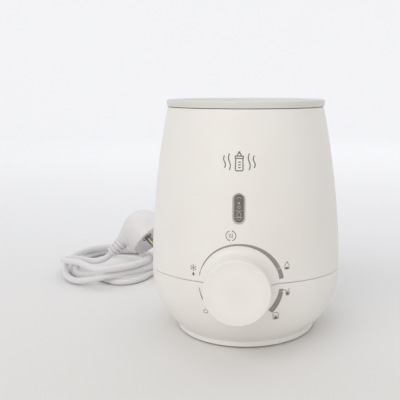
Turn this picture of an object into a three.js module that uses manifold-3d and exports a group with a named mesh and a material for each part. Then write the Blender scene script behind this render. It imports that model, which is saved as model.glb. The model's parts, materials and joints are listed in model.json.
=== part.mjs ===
// A baby-bottle warmer: a tapered two-part plastic housing around a heated water well, with one
// rotary control on the front, an indicator window above it and a coiled mains cord behind.
// Millimetres, +Z up, front towards -Y. Heights below are measured from the floor. The finished
// group is then lowered, so that its origin is the middle of the heating plate's top face.
import * as THREE from "three";
import { mergeVertices } from "three/addons/utils/BufferGeometryUtils.js";
import Module from "manifold-3d";

const wasm = await Module();
wasm.setup();

// ---- Driving dimensions -------------------------------------------------------------------------
const HEIGHT = 150; // floor to the top of the rim
const GAP = 0.3; // clearance between neighbouring pieces
const WALL = 2.4; // moulded housing wall
const FOOT_LIFT = 1; // what the rubber feet hold the housing off the floor

// Outer profile of the housing: a long shallow arc above, a tight arc below, a flared foot.
const WIDEST_R = 62.2;
const TAPER_Z = 31; // where the long taper would be vertical
const TAPER_ARC_R = 530;
const BELLY_Z = 40; // where the lower arc starts to turn in
const BELLY_ARC_R = 47;
const NECK_Z = 4.4; // narrowest point, just above the flared foot
const FOOT_R = 46;
const HOUSING_TOP = HEIGHT - 4.6;

// The parting plane between the two housings rises towards the front.
const SEAM_Z = 41;
const SEAM_TILT = THREE.MathUtils.degToRad(5);
const SEAM_GAP = 0.4;

// Water well, heating plate and the opening in the top of the housing
const WELL_R = 40; // inside radius, room for a wide-neck bottle
const WELL_WALL = 2;
const WELL_OUT = WELL_R + WELL_WALL;
const WELL_FLOOR = 50; // top face of the heating plate
const PLATE_T = 2.5;
const OPENING_R = WELL_OUT + 0.8;

// Rotary control
const KNOB_Z = 45.9;
const KNOB_R = 19.1;
const KNOB_FACE = 76.5; // distances towards the front, from the housing's axis
const KNOB_T = 9.9;
const KNOB_SKIN = 2.2;
const BOSS_FACE = 66.2;
const BOSS_R = 18.4; // flat top of the boss, behind the knob
const BOSS_FLARE = 4.5; // how far its foot spreads
const BOSS_DROP = 8.6; // over this height
const BOSS_CURVE = 1.7; // how sharply the flank sweeps out
const BOSS_HOLLOW_R = 14;
const SHAFT_R = 3;
const BUSH_R = 3.9; // threaded bush round the shaft
const OFF_ANGLE = 129.5; // pointer at rest, degrees anticlockwise of straight up

// Control board behind the front wall
const BOARD_FACE = 50;
const BOARD_T = 1.6;
const BOARD_W = 26;
const BOARD_BOTTOM = 28;
const BOARD_TOP = 104;

// Indicator window, a slot with round ends
const WINDOW_Z = 90;
const WINDOW_W = 7.2;
const WINDOW_H = 17.7;
const BEZEL_W = 1.1; // width of the frame around the lens

// Screws
const SCREW_R = 1.5;
const POST_R = 4;

// Mains cord and plug
const CORD_R = 2.7;
const LEAD_R = 1;
const OUTLET_Z = 14;
const PLUG_START = new THREE.Vector3(-126, 109, 13.8); // the sleeve's thin end
const PLUG_AXIS = new THREE.Vector3(0.7, 0.17, 0.69).normalize(); // from there to the disc's middle
const PIN_AXIS = new THREE.Vector3(0.69, -0.38, -0.61); // the way the pins point
const SLEEVE_L = 16;
const DISC_AT = 35; // from the sleeve's thin end to the middle of the plug's disc
const DISC_R = 18.5;
const DISC_FACE = 17.5; // how far the face stands off the cord's line
const PIN_R = 2.4;
const PIN_SPACING = 19;
const PIN_L = 19;
const PIN_DEPTH = 8; // how far the pins run into the disc

const ROUND = 44; // segments round the large turned pieces
const FINE = 20; // segments round small ones

// ---- Materials ----------------------------------------------------------------------------------
const material = (color, roughness, metalness = 0) =>
  new THREE.MeshStandardMaterial({ color, roughness, metalness });
const shellWhite = material(0xe6e2dc, 0.45);
const rimGrey = material(0xcfcdc8, 0.4);
const knobWhite = material(0xe8e4de, 0.4);
const lensDark = material(0x5b5854, 0.15);
const bezelGrey = material(0xb5b2ad, 0.35);
const wellWhite = material(0xdcdad5, 0.5);
const rubberGrey = material(0x8a8885, 0.9);
const siliconeWhite = material(0xd8d6d2, 0.7);
const aluminium = material(0xb9bbbd, 0.35, 1);
const steel = material(0xc4c4c4, 0.3, 1);
const brass = material(0xc2a35a, 0.35, 1);
const boardGreen = material(0x2f6b45, 0.6);
const blackPlastic = material(0x2a2a2a, 0.5);
const ledClear = material(0xf1efe6, 0.2);
const cordWhite = material(0xe2e1e1, 0.35);
const leadBrown = material(0x6b4a33, 0.5);
const leadBlue = material(0x3f62a0, 0.5);
const leadGreen = material(0x7d9b3a, 0.5);

// ---- Solids -------------------------------------------------------------------------------------
function toSolid(geometry) {
  const bare = geometry.index ? geometry.toNonIndexed() : geometry.clone();
  bare.deleteAttribute("normal");
  bare.deleteAttribute("uv");
  const merged = mergeVertices(bare, 1e-4);
  const mesh = new wasm.Mesh({
    numProp: 3,
    vertProperties: new Float32Array(merged.attributes.position.array),
    triVerts: new Uint32Array(merged.index.array),
  });
  return new wasm.Manifold(mesh);
}

function toGeometry(solid) {
  const mesh = solid.getMesh();
  const geometry = new THREE.BufferGeometry();
  geometry.setAttribute("position", new THREE.BufferAttribute(mesh.vertProperties, 3));
  geometry.setIndex(new THREE.BufferAttribute(mesh.triVerts, 1));
  geometry.computeVertexNormals();
  return geometry;
}

const moved = (geometry, x, y, z) => geometry.translate(x, y, z);
const join = (...geometries) => geometries.map(toSolid).reduce((a, b) => a.add(b));
const cut = (solid, ...tools) => tools.reduce((a, b) => a.subtract(toSolid(b)), solid);

// A profile of [radius, z] points, anticlockwise with the radius to the right, turned round Z.
function turned(profile, segments = FINE) {
  const onAxis = profile[0][0] === 0;
  const path = onAxis ? profile : [...profile, profile[0]];
  const points = path.map(([r, z]) => new THREE.Vector2(r, z));
  return new THREE.LatheGeometry(points, segments).rotateX(Math.PI / 2);
}

const rod = (r, bottom, top, segments = FINE) =>
  turned([[0, bottom], [r, bottom], [r, top], [0, top]], segments);
const tube = (inner, outer, bottom, top, segments = FINE) =>
  turned([[inner, bottom], [outer, bottom], [outer, top], [inner, top]], segments);
const box = (w, d, h, x, y, z) => moved(new THREE.BoxGeometry(w, d, h), x, y, z);

// Turns a Z-axis piece to face the front, so that its own z becomes the distance towards -Y.
const facing = (geometry) => geometry.rotateX(Math.PI / 2);
const facingKnob = (geometry) => moved(facing(geometry), 0, 0, KNOB_Z);

function slotPrism(width, height, near, far) {
  const r = width / 2;
  const straight = height / 2 - r;
  const slot = new THREE.Shape();
  slot.absarc(0, straight, r, 0, Math.PI, false);
  slot.absarc(0, -straight, r, Math.PI, 2 * Math.PI, false);
  slot.closePath();
  const options = { depth: far - near, bevelEnabled: false, curveSegments: 8 };
  return facing(moved(new THREE.ExtrudeGeometry(slot, options), 0, 0, near));
}

function cable(points, radius, steps, sides = 6) {
  const ring = new THREE.Shape();
  ring.absarc(0, 0, radius, 0, 2 * Math.PI, false);
  const extrudePath = new THREE.CatmullRomCurve3(points.map((p) => new THREE.Vector3(...p)));
  const options = { steps, extrudePath, curveSegments: sides / 2, bevelEnabled: false };
  return new THREE.ExtrudeGeometry(ring, options);
}

// A pan-head screw standing on its head.
const panScrew = (headR, headH, length) =>
  turned(
    [
      [0, 0],
      [headR * 0.8, 0],
      [headR, headH * 0.4],
      [headR, headH],
      [SCREW_R, headH],
      [SCREW_R, headH + length],
      [0, headH + length],
    ],
    10,
  );

// Places round the axis, as [x, y], at a radius and a list of angles.
const around = (radius, degrees) =>
  degrees.map((d) => {
    const angle = THREE.MathUtils.degToRad(d);
    return [radius * Math.cos(angle), radius * Math.sin(angle)];
  });

const model = new THREE.Group();

function place(name, source, finish, parent = model) {
  const geometry = source.isBufferGeometry ? source : toGeometry(source);
  const mesh = new THREE.Mesh(geometry, finish);
  mesh.name = name;
  parent.add(mesh);
}

// ---- Housing ------------------------------------------------------------------------------------
const beltRadius = (z) =>
  WIDEST_R - BELLY_ARC_R + Math.sqrt(BELLY_ARC_R ** 2 - Math.max(BELLY_Z - z, 0) ** 2);

const taperRadius = (z) => WIDEST_R - (z - TAPER_Z) ** 2 / (2 * TAPER_ARC_R);

// Outer radius of the housing at a height.
function shellRadius(z) {
  if (z >= BELLY_Z) return taperRadius(z);
  if (z >= NECK_Z) return Math.min(beltRadius(z), taperRadius(BELLY_Z));
  const flare = (NECK_Z - z) / (NECK_Z - FOOT_LIFT);
  return beltRadius(NECK_Z) + (FOOT_R - beltRadius(NECK_Z)) * flare ** 2;
}

function shellProfile(inset, bottom, top, steps) {
  const points = [];
  for (let i = 0; i <= steps; i++) {
    const z = bottom + ((top - bottom) * i) / steps;
    points.push([shellRadius(z) - inset, z]);
  }
  return points;
}

function shellBlank() {
  const lipUnder = HOUSING_TOP - WALL;
  const outer = [
    ...shellProfile(0, FOOT_LIFT, NECK_Z, 2),
    ...shellProfile(0, NECK_Z + 4, BELLY_Z, 7),
    ...shellProfile(0, BELLY_Z + 14, HOUSING_TOP, 6),
  ];
  const inner = [
    ...shellProfile(WALL, NECK_Z, BELLY_Z, 5),
    ...shellProfile(WALL, BELLY_Z + 20, lipUnder, 4),
  ].reverse();
  const base = [shellRadius(NECK_Z) - WALL, FOOT_LIFT];
  return turned([...outer, [OPENING_R, HOUSING_TOP], [OPENING_R, lipUnder], ...inner, base], ROUND);
}

// Everything inside the housing's wall, less a part of its thickness.
function housingInside(inset) {
  const belly = shellProfile(inset, NECK_Z, BELLY_Z, 5);
  const taper = shellProfile(inset, BELLY_Z + 20, HOUSING_TOP, 4);
  return turned([[0, NECK_Z], ...belly, ...taper, [0, HOUSING_TOP]], ROUND);
}

// A raised boss whose flank sweeps up from the housing to carry the knob.
function bossBlank() {
  const flank = [];
  const steps = 5;
  for (let i = steps; i >= 0; i--) {
    const along = i / steps;
    flank.push([BOSS_R + BOSS_FLARE * along ** BOSS_CURVE, BOSS_FACE - BOSS_DROP * along]);
  }
  const root = BOARD_FACE + 2;
  return facingKnob(turned([[0, root], [BOSS_R + BOSS_FLARE, root], ...flank, [0, BOSS_FACE]], 40));
}

function seamSlab(above) {
  const size = 4 * WIDEST_R;
  const offset = ((size - SEAM_GAP) / 2) * (above ? 1 : -1);
  return moved(box(size, size, size, 0, 0, offset).rotateX(-SEAM_TILT), 0, 0, SEAM_Z);
}

// The window's parts lean back with the wall; near and far are measured out from its skin.
function windowPiece(width, height, near, far) {
  const lean = Math.atan((WINDOW_Z - TAPER_Z) / TAPER_ARC_R);
  const prism = slotPrism(width, height, near, far).rotateX(-lean);
  return moved(prism, 0, -shellRadius(WINDOW_Z), WINDOW_Z);
}

const outletR = shellRadius(OUTLET_Z);
const outward = (geometry) => moved(facing(geometry).rotateZ(Math.PI), 0, 0, OUTLET_Z);

const wallPiece = toSolid(shellBlank());
const boss = cut(toSolid(bossBlank()), housingInside(WALL - GAP));
const bossHollow = facingKnob(rod(BOSS_HOLLOW_R, BOARD_FACE, BOSS_FACE - WALL, 32));
const shell = cut(
  wallPiece.add(boss),
  bossHollow,
  facingKnob(rod(BUSH_R + GAP, BOARD_FACE, KNOB_FACE)),
  windowPiece(WINDOW_W, WINDOW_H, -9, 9),
  outward(rod(CORD_R + 1.9, outletR - 14, outletR + 8)),
);

const ASSEMBLY_CIRCLE_R = 50;
const assemblyPlaces = around(ASSEMBLY_CIRCLE_R, [60, 180, 300]);
const ASSEMBLY_HEAD_Z = 22; // underside of the lower posts, where the heads bear
const ASSEMBLY_TIP_Z = 52;
const BASE_CIRCLE_R = 30;
const basePlaces = around(BASE_CIRCLE_R, [0, 180, 270]);
const BASE_POST_TOP = 13;
const BASE_RIB_OUT = 50; // the ribs of the base posts run out to here, then stop at the wall
const COVER_TOP = 4;

// A screw post and the rib that ties it to the wall.
function postAndRib([x, y], bottom, top, ribOut) {
  const radius = Math.hypot(x, y);
  const rib = box(ribOut - radius, 2.4, top - bottom, (ribOut + radius) / 2, 0, (top + bottom) / 2);
  const post = join(moved(rod(POST_R, bottom, top, 16), x, y, 0), rib.rotateZ(Math.atan2(y, x)));
  return post.intersect(toSolid(housingInside(WALL - 1)));
}
const screwBore = ([x, y], bottom, top) => moved(rod(SCREW_R + GAP, bottom, top, 12), x, y, 0);

const boardPosts = [-9.5, 9.5].map((x) => [x, 78]);
function upperHousing() {
  let solid = shell;
  for (const at of assemblyPlaces) {
    solid = solid.add(postAndRib(at, SEAM_Z - 8, ASSEMBLY_TIP_Z + 4, WIDEST_R));
  }
  for (const [x, z] of boardPosts) {
    const post = toSolid(moved(facing(rod(2.8, BOARD_FACE + GAP, 62, 14)), x, 0, z));
    solid = solid.add(post.intersect(toSolid(housingInside(WALL - 1))));
    solid = cut(solid, moved(facing(rod(SCREW_R + GAP, BOARD_FACE, BOARD_FACE + 4, 12)), x, 0, z));
  }
  const bores = assemblyPlaces.map((at) => screwBore(at, SEAM_Z - 9, ASSEMBLY_TIP_Z + 1));
  return cut(solid, ...bores, seamSlab(false));
}

function lowerHousing() {
  let solid = shell;
  for (const at of assemblyPlaces) {
    solid = solid.add(postAndRib(at, ASSEMBLY_HEAD_Z, SEAM_Z + 8, WIDEST_R));
  }
  for (const at of basePlaces) {
    solid = solid.add(postAndRib(at, COVER_TOP + 0.6, BASE_POST_TOP, BASE_RIB_OUT));
  }
  const bores = [
    ...assemblyPlaces.map((at) => screwBore(at, ASSEMBLY_HEAD_Z - 1, SEAM_Z + 9)),
    ...basePlaces.map((at) => screwBore(at, 2, 11)),
  ];
  return cut(solid, ...bores, seamSlab(true));
}

place("upper_housing", upperHousing(), shellWhite);
place("lower_housing", lowerHousing(), shellWhite);
assemblyPlaces.forEach(([x, y], i) => {
  const headH = 2;
  const length = ASSEMBLY_TIP_Z - ASSEMBLY_HEAD_Z;
  const screw = moved(panScrew(3, headH, length), x, y, ASSEMBLY_HEAD_Z - GAP - headH);
  place(`assembly_screw_${i + 1}`, screw, steel);
});

// ---- Rim, well and heating plate ----------------------------------------------------------------
const RIM_R = shellRadius(HOUSING_TOP) + 0.6;
const FLANGE_R = 46.6;
const FLANGE_TOP = HOUSING_TOP + GAP + 1.5;

place(
  "rim_ring",
  turned(
    [
      [WELL_R + 0.2, FLANGE_TOP + GAP],
      [FLANGE_R + GAP, FLANGE_TOP + GAP],
      [FLANGE_R + GAP, HOUSING_TOP + GAP],
      [RIM_R - 1.6, HOUSING_TOP + GAP],
      [RIM_R - 1.6, HOUSING_TOP + 0.8],
      [RIM_R, HOUSING_TOP + 0.8],
      [RIM_R, HEIGHT - 0.9],
      [RIM_R - 0.8, HEIGHT],
      [WELL_R + 1.4, HEIGHT],
      [WELL_R + 0.2, HEIGHT - 1.2],
    ],
    ROUND,
  ),
  rimGrey,
);
place(
  "water_well",
  turned(
    [
      [WELL_R - 3, WELL_FLOOR + GAP],
      [WELL_OUT, WELL_FLOOR + GAP],
      [WELL_OUT, HOUSING_TOP + GAP],
      [FLANGE_R, HOUSING_TOP + GAP],
      [FLANGE_R, FLANGE_TOP],
      [WELL_R, FLANGE_TOP],
      [WELL_R, WELL_FLOOR + 3.8],
      [WELL_R - 2, WELL_FLOOR + 1.8],
      [WELL_R - 3, WELL_FLOOR + 1.8],
    ],
    ROUND,
  ),
  wellWhite,
);

const STEP_R = WELL_R - 5; // the plate's raised middle, inside its sealing rim
place(
  "heating_plate",
  turned(
    [
      [0, WELL_FLOOR - PLATE_T],
      [WELL_OUT, WELL_FLOOR - PLATE_T],
      [WELL_OUT, WELL_FLOOR - 1],
      [STEP_R, WELL_FLOOR - 1],
      [STEP_R, WELL_FLOOR],
      [0, WELL_FLOOR],
    ],
    40,
  ),
  aluminium,
);
place("well_seal", tube(WELL_R - 2.8, WELL_OUT, WELL_FLOOR - 0.7, WELL_FLOOR, 32), siliconeWhite);

const CLAMP_TOP = WELL_FLOOR - PLATE_T - GAP;
const CLAMP_T = 2;
const clampPlaces = around(WELL_OUT - 3.5, [30, 150, 270]);
const clampBores = clampPlaces.map(([x, y]) => moved(rod(SCREW_R + GAP, 30, 60, 12), x, y, 0));
place(
  "plate_clamp_ring",
  cut(toSolid(tube(WELL_OUT - 7, WELL_OUT, CLAMP_TOP - CLAMP_T, CLAMP_TOP, 32)), ...clampBores),
  steel,
);
clampPlaces.forEach(([x, y], i) => {
  const headH = 1.6;
  const screw = moved(panScrew(2.9, headH, CLAMP_T), x, y, CLAMP_TOP - CLAMP_T - GAP - headH);
  place(`clamp_screw_${i + 1}`, screw, steel);
});

// ---- Heater -------------------------------------------------------------------------------------
const ELEMENT_R = 25;
const ELEMENT_TUBE_R = 3.3;
const ELEMENT_Z = CLAMP_TOP - ELEMENT_TUBE_R;
const ELEMENT_SWEEP = THREE.MathUtils.degToRad(260);

// A tubular element bent to most of a circle, both cold ends turned down at the back.
function elementPath() {
  const steps = 14;
  const points = [];
  const add = (angle, drop) =>
    points.push([ELEMENT_R * Math.cos(angle), ELEMENT_R * Math.sin(angle), ELEMENT_Z - drop]);
  const back = Math.PI / 2;
  const start = back + Math.PI - ELEMENT_SWEEP / 2;
  add(start - 0.55, 20);
  add(start - 0.52, 11);
  add(start - 0.34, 3);
  for (let i = 0; i <= steps; i++) add(start + (ELEMENT_SWEEP * i) / steps, 0);
  add(start + ELEMENT_SWEEP + 0.34, 3);
  add(start + ELEMENT_SWEEP + 0.52, 11);
  add(start + ELEMENT_SWEEP + 0.55, 20);
  return points;
}
const elementPoints = elementPath();
place("heating_element", cable(elementPoints, ELEMENT_TUBE_R, 42, 8), aluminium);
const coldEnds = { live: elementPoints[0], neutral: elementPoints.at(-1) };
const TAB_H = 8;
for (const [side, [x, y, z]] of Object.entries(coldEnds)) {
  place(`element_tab_${side}`, box(0.8, 5, TAB_H, x, y, z - GAP - TAB_H / 2), steel);
}

place(
  "temperature_sensor",
  moved(turned([[0, 0], [1.6, 0], [1.6, 5], [4, 5.6], [4, 9], [0, 9]], 16), 0, 0, CLAMP_TOP - 9),
  brass,
);
const BRACKET_Z = CLAMP_TOP - 6;
const bracketLegs = [-12.5, 12.5].map((x) => box(1, 8, 6, x, 0, CLAMP_TOP - 3));
place(
  "sensor_bracket",
  cut(join(box(26, 8, 1, 0, 0, BRACKET_Z), ...bracketLegs), rod(2, 30, 60, 14)),
  steel,
);
place("thermal_fuse", moved(rod(2, -8, 8, 14).rotateY(Math.PI / 2), 0, -12, CLAMP_TOP - 2), steel);

// ---- Bottom cover and feet ----------------------------------------------------------------------
const CLAMP_Y = 34; // where the cord is clamped
const CLAMP_X = 6.8; // its screws, either side of the cord
const clampPlace = [-CLAMP_X, CLAMP_X].map((x) => [x, CLAMP_Y]);
const CLAMP_BASE_Z = OUTLET_Z + CORD_R + 0.4;
const CLAMP_BAR_T = 3;
const COVER_R = shellRadius(NECK_Z) - WALL - GAP;
function bottomCover() {
  const coverBottom = FOOT_LIFT + 0.4;
  const posts = clampPlace.map(([x, y]) => moved(rod(3, coverBottom, CLAMP_BASE_Z - GAP, 16), x, y, 0));
  const clampBore = clampPlace.map((at) => screwBore(at, CLAMP_BASE_Z - 6, CLAMP_BASE_Z));
  const pockets = basePlaces.map(([x, y]) => moved(rod(3.6, 0, 2.8, 18), x, y, 0));
  const bores = basePlaces.map((at) => screwBore(at, 0, 9));
  const vents = [-13, -9, 9, 13].map((y) => box(26, 2, 9, 0, y, 3));
  const plate = join(rod(COVER_R, coverBottom, COVER_TOP, 40), ...posts);
  return cut(plate, ...clampBore, ...pockets, ...bores, ...vents);
}
place("bottom_cover", bottomCover(), shellWhite);
basePlaces.forEach(([x, y], i) => {
  place(`base_screw_${i + 1}`, moved(panScrew(3, 1, 7), x, y, FOOT_LIFT + 0.5), steel);
});
around(36, [45, 135, 225, 315]).forEach(([x, y], i) => {
  const pad = turned([[0, 0], [5, 0], [5.5, 0.5], [5.5, FOOT_LIFT + 0.1], [0, FOOT_LIFT + 0.1]], 18);
  place(`rubber_foot_${i + 1}`, moved(pad, x, y, 0), rubberGrey);
});

// ---- Control board and indicator ----------------------------------------------------------------
const boardBack = BOARD_FACE - BOARD_T;
const boardBores = boardPosts.map(([x, z]) => moved(facing(rod(SCREW_R + GAP, 40, 60, 12)), x, 0, z));
place(
  "control_board",
  cut(
    toSolid(box(BOARD_W, BOARD_T, BOARD_TOP - BOARD_BOTTOM, 0, -(BOARD_FACE + boardBack) / 2,
      (BOARD_TOP + BOARD_BOTTOM) / 2)),
    ...boardBores,
  ),
  boardGreen,
);
boardPosts.forEach(([x, z], i) => {
  const headH = 1.5;
  const screw = moved(facing(panScrew(2.6, headH, 4)), x, GAP - boardBack + headH, z);
  place(`board_screw_${i + 1}`, screw, steel);
});
place("relay", box(14, 9, 10, -4, 4.5 + GAP - boardBack, BOARD_BOTTOM + 7), blackPlastic);
place(
  "mains_capacitor",
  moved(rod(3.2, 0, 10, 16).rotateX(-Math.PI / 2), 8.5, GAP - boardBack, BOARD_BOTTOM + 6),
  blackPlastic,
);

const lensW = WINDOW_W - 2 * GAP - 2 * BEZEL_W;
const lensH = WINDOW_H - 2 * GAP - 2 * BEZEL_W;
place(
  "indicator_bezel",
  cut(
    toSolid(windowPiece(WINDOW_W - 2 * GAP, WINDOW_H - 2 * GAP, -3.5, 0.15)),
    windowPiece(lensW, lensH, -9, 9),
  ),
  bezelGrey,
);
place("indicator_lens", windowPiece(lensW - 2 * GAP, lensH - 2 * GAP, -3.4, -0.2), lensDark);
const ledDome = turned([[0, 0], [1.5, 0], [1.5, 1.4], [1.1, 2.2], [0, 2.5]], 12);
place("indicator_light", moved(facing(ledDome), 0, -BOARD_FACE - GAP, WINDOW_Z), ledClear);

// ---- Rotary switch and what turns with it -------------------------------------------------------
const SWITCH_SIDE = 13;
const SWITCH_BACK = BOARD_FACE + GAP;
const SWITCH_FRONT = SWITCH_BACK + 6.5;
const BUSH_TIP = BOSS_FACE + 2;
function rotarySwitch() {
  const depth = SWITCH_FRONT - SWITCH_BACK;
  const block = box(SWITCH_SIDE, depth, SWITCH_SIDE, 0, -(SWITCH_FRONT + SWITCH_BACK) / 2, KNOB_Z);
  const bush = facingKnob(rod(BUSH_R, SWITCH_FRONT - 1, BUSH_TIP));
  return cut(join(block, bush), facingKnob(rod(SHAFT_R + GAP, SWITCH_BACK + 1.2, KNOB_FACE)));
}
place("rotary_switch", rotarySwitch(), blackPlastic);
const hexagon = toSolid(facingKnob(rod(5.8, BOSS_FACE + GAP, BUSH_TIP - GAP, 6)));
place("switch_nut", cut(hexagon, facingKnob(rod(BUSH_R + GAP, BOSS_FACE, KNOB_FACE))), steel);

const turning = new THREE.Group();
model.add(turning);
const knobBack = KNOB_FACE - KNOB_T;
const SHAFT_TIP = KNOB_FACE - 3;
const HUB_BACK = BUSH_TIP + 0.5;
const HUB_R = 6;
function switchShaft() {
  const round = toSolid(facingKnob(rod(SHAFT_R, SWITCH_BACK + 1.6, SHAFT_TIP)));
  const flatL = SHAFT_TIP - HUB_BACK + 2;
  return cut(round, box(8, flatL, 4, 0, 1 - (SHAFT_TIP + HUB_BACK) / 2, KNOB_Z + 3.8));
}
place("switch_shaft", switchShaft(), steel, turning);

// A thin skirt and face over a central hub that grips the shaft.
function controlKnob() {
  const skirt = turned(
    [
      [KNOB_R - KNOB_SKIN, knobBack],
      [KNOB_R - 0.3, knobBack],
      [KNOB_R, KNOB_FACE - 1],
      [KNOB_R - 0.3, KNOB_FACE - 0.3],
      [KNOB_R - 1, KNOB_FACE],
      [0, KNOB_FACE],
      [0, KNOB_FACE - KNOB_SKIN],
      [KNOB_R - KNOB_SKIN, KNOB_FACE - KNOB_SKIN],
    ],
    44,
  );
  const hub = tube(SHAFT_R + GAP, HUB_R, HUB_BACK, KNOB_FACE - KNOB_SKIN + 0.4, 20);
  const body = join(facingKnob(skirt), facingKnob(hub));
  const groove = box(1.2, KNOB_T - 3, 1.2, 0, -(knobBack + KNOB_FACE) / 2, KNOB_R);
  const turnedGroove = groove.rotateY(-THREE.MathUtils.degToRad(OFF_ANGLE));
  return cut(body, moved(turnedGroove, 0, 0, KNOB_Z));
}
place("control_knob", controlKnob(), knobWhite, turning);
function knobClip() {
  const ring = toSolid(facingKnob(tube(HUB_R + GAP, HUB_R + 1.2, HUB_BACK + 0.6, HUB_BACK + 2.6, 20)));
  return cut(ring, box(4, 9, 6, 0, -HUB_BACK, KNOB_Z - HUB_R - 1));
}
place("knob_clip", knobClip(), steel, turning);

// ---- Cord entry, terminals and leads ------------------------------------------------------------
place(
  "cord_bush",
  outward(
    turned(
      [
        [CORD_R + GAP, outletR - 12],
        [7, outletR - 12],
        [7, outletR - 9.5],
        [CORD_R + 1.6, outletR - 9.5],
        [CORD_R + 1.6, outletR + 4.2],
        [6, outletR + 4.2],
        [5, outletR + 10],
        [4.2, outletR + 16],
        [CORD_R + GAP, outletR + 16],
      ],
      20,
    ),
  ),
  siliconeWhite,
);
const clampBar = box(20, 6, CLAMP_BAR_T, 0, CLAMP_Y, CLAMP_BASE_Z + CLAMP_BAR_T / 2);
const clampHoles = clampPlace.map((at) => screwBore(at, CLAMP_BASE_Z - 1, CLAMP_BASE_Z + 4));
place("cord_clamp", cut(toSolid(clampBar), ...clampHoles), blackPlastic);
clampPlace.forEach(([x, y], i) => {
  const headH = 1.4;
  const screw = panScrew(2.4, headH, 6).rotateX(Math.PI);
  const headTop = CLAMP_BASE_Z + CLAMP_BAR_T + GAP + headH;
  place(`cord_clamp_screw_${i + 1}`, moved(screw, x, y, headTop), steel);
});

const BLOCK_Y = 12;
const BLOCK_W = 22;
const BLOCK_D = 10;
place("terminal_block", box(BLOCK_W, BLOCK_D, BLOCK_D, 0, BLOCK_Y, OUTLET_Z), blackPlastic);
const blockBack = BLOCK_Y + BLOCK_D / 2 + GAP;
const blockFront = BLOCK_Y - BLOCK_D / 2 - GAP;
const blockTop = OUTLET_Z + BLOCK_D / 2 + GAP;
for (const [side, [x, y, z]] of Object.entries(coldEnds)) {
  const tabBottom = z - 2 * GAP - TAB_H;
  const path = [[x, blockBack, 11], [x, blockBack + 3, 10], [x, y - 0.6, 11.2], [x, y, tabBottom]];
  place(`${side}_lead`, cable(path, LEAD_R, 8), side === "live" ? leadBrown : leadBlue);
}
place(
  "earth_lead",
  cable([[0, BLOCK_Y, blockTop], [0, BLOCK_Y + 1, 28], [0, BLOCK_Y + 4, 38], [0, BLOCK_Y + 4, CLAMP_TOP]],
    LEAD_R, 12),
  leadGreen,
);
const boardEnd = -(BOARD_FACE + boardBack) / 2;
place(
  "board_lead",
  cable([[4, blockFront, OUTLET_Z], [4, -10, 12], [3.5, -34, 16], [3, boardEnd, 22],
    [3, boardEnd, BOARD_BOTTOM - GAP]], LEAD_R, 18),
  leadBlue,
);
place(
  "sensor_lead",
  cable([[0, 0, CLAMP_TOP - 9 - 2 * GAP], [0, -3, 32], [-3, -20, 27], [-5, -38, 22], [-5, boardEnd, 23.5],
    [-5, boardEnd, BOARD_BOTTOM - GAP]], LEAD_R, 20),
  leadBrown,
);

// ---- Mains cord, laid on the floor in loose turns, and its plug ---------------------------------
const ON_FLOOR = CORD_R + GAP;
const alongPlug = (distance) => PLUG_AXIS.clone().multiplyScalar(distance).add(PLUG_START).toArray();

function cordPath() {
  const fromOutlet = [
    [0, blockBack, OUTLET_Z],
    [0, CLAMP_Y, OUTLET_Z],
    [0, outletR, OUTLET_Z],
    [0, outletR + 10, OUTLET_Z],
    [0, outletR + 20, OUTLET_Z],
    [-5, 89, 11],
    [-17, 100, 5.5],
    [-36, 108, ON_FLOOR],
    [-58, 110, ON_FLOOR],
  ];
  const lowerTurn = [
    [-76, 103], [-86, 90], [-91, 76], [-99, 67], [-109, 65], [-118, 70], [-128, 76], [-139, 78],
    [-149, 84], [-156, 99], [-159, 119], [-155, 139], [-145, 151], [-131, 156], [-116, 155], [-101, 148],
  ].map(([x, y]) => [x, y, ON_FLOOR]);
  const middleTurn = [
    [-90, 134, 3.5], [-84, 116, 6], [-84, 98, 8.8], [-91, 82, 9], [-102, 70, 9], [-115, 62, 8.8],
    [-128, 60, 6], [-142, 64, 3.4], [-154, 75, 3.6], [-161, 91, 5.2], [-164, 107, 8], [-160, 126, 9],
    [-153, 139, 9], [-142, 147, 9], [-128, 148, 9], [-114, 141, 9], [-103, 127, 9],
  ];
  const upperTurn = [
    [-95, 112, 10], [-90, 99, 13], [-89, 87, 15.2], [-94, 75, 15.3], [-103, 66, 15.2], [-114, 60, 15],
    [-124, 59, 15.2], [-133, 64, 16], [-142, 71, 16.6], [-151, 76.5, 15.8], [-158.5, 83, 14.6],
    [-161, 91, 13], [-157.5, 99, 11.5], [-150, 103, 9.5], [-143, 105, 7.6], [-136.5, 106, 7.6],
  ];
  const intoPlug = [-5, 0, 5].map(alongPlug);
  return [...fromOutlet, ...lowerTurn, ...middleTurn, ...upperTurn, ...intoPlug];
}
place("power_cord", cable(cordPath(), CORD_R, 190, 8), cordWhite);

// The plug's own frame: z along the cord, x the way the pins point.
const plug = new THREE.Group();
const acrossPlug = PLUG_AXIS.clone().cross(PIN_AXIS).normalize();
const towardsPins = acrossPlug.clone().cross(PLUG_AXIS);
plug.applyMatrix4(new THREE.Matrix4().makeBasis(towardsPins, acrossPlug, PLUG_AXIS));
plug.position.copy(PLUG_START);
model.add(plug);
const onDisc = (geometry, y = 0) => moved(geometry.rotateY(Math.PI / 2), 0, y, DISC_AT);

// The ribbed sleeve that protects the cord where it enters the plug.
function plugSleeve() {
  const ribs = 4;
  const pitch = (SLEEVE_L - 3) / ribs;
  const outline = [];
  for (let i = 0; i < ribs; i++) {
    const z = 1 + i * pitch;
    const r = 4.4 + (i * 1.8) / ribs;
    outline.push([r, z], [r, z + pitch * 0.6], [r - 0.8, z + pitch * 0.6], [r - 0.8, z + pitch]);
  }
  return turned(
    [[CORD_R + GAP, 0], [4, 0], ...outline, [6.2, SLEEVE_L], [0, SLEEVE_L], [0, 6], [CORD_R + GAP, 6]],
    14,
  );
}
place("plug_sleeve", plugSleeve(), cordWhite, plug);

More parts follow.
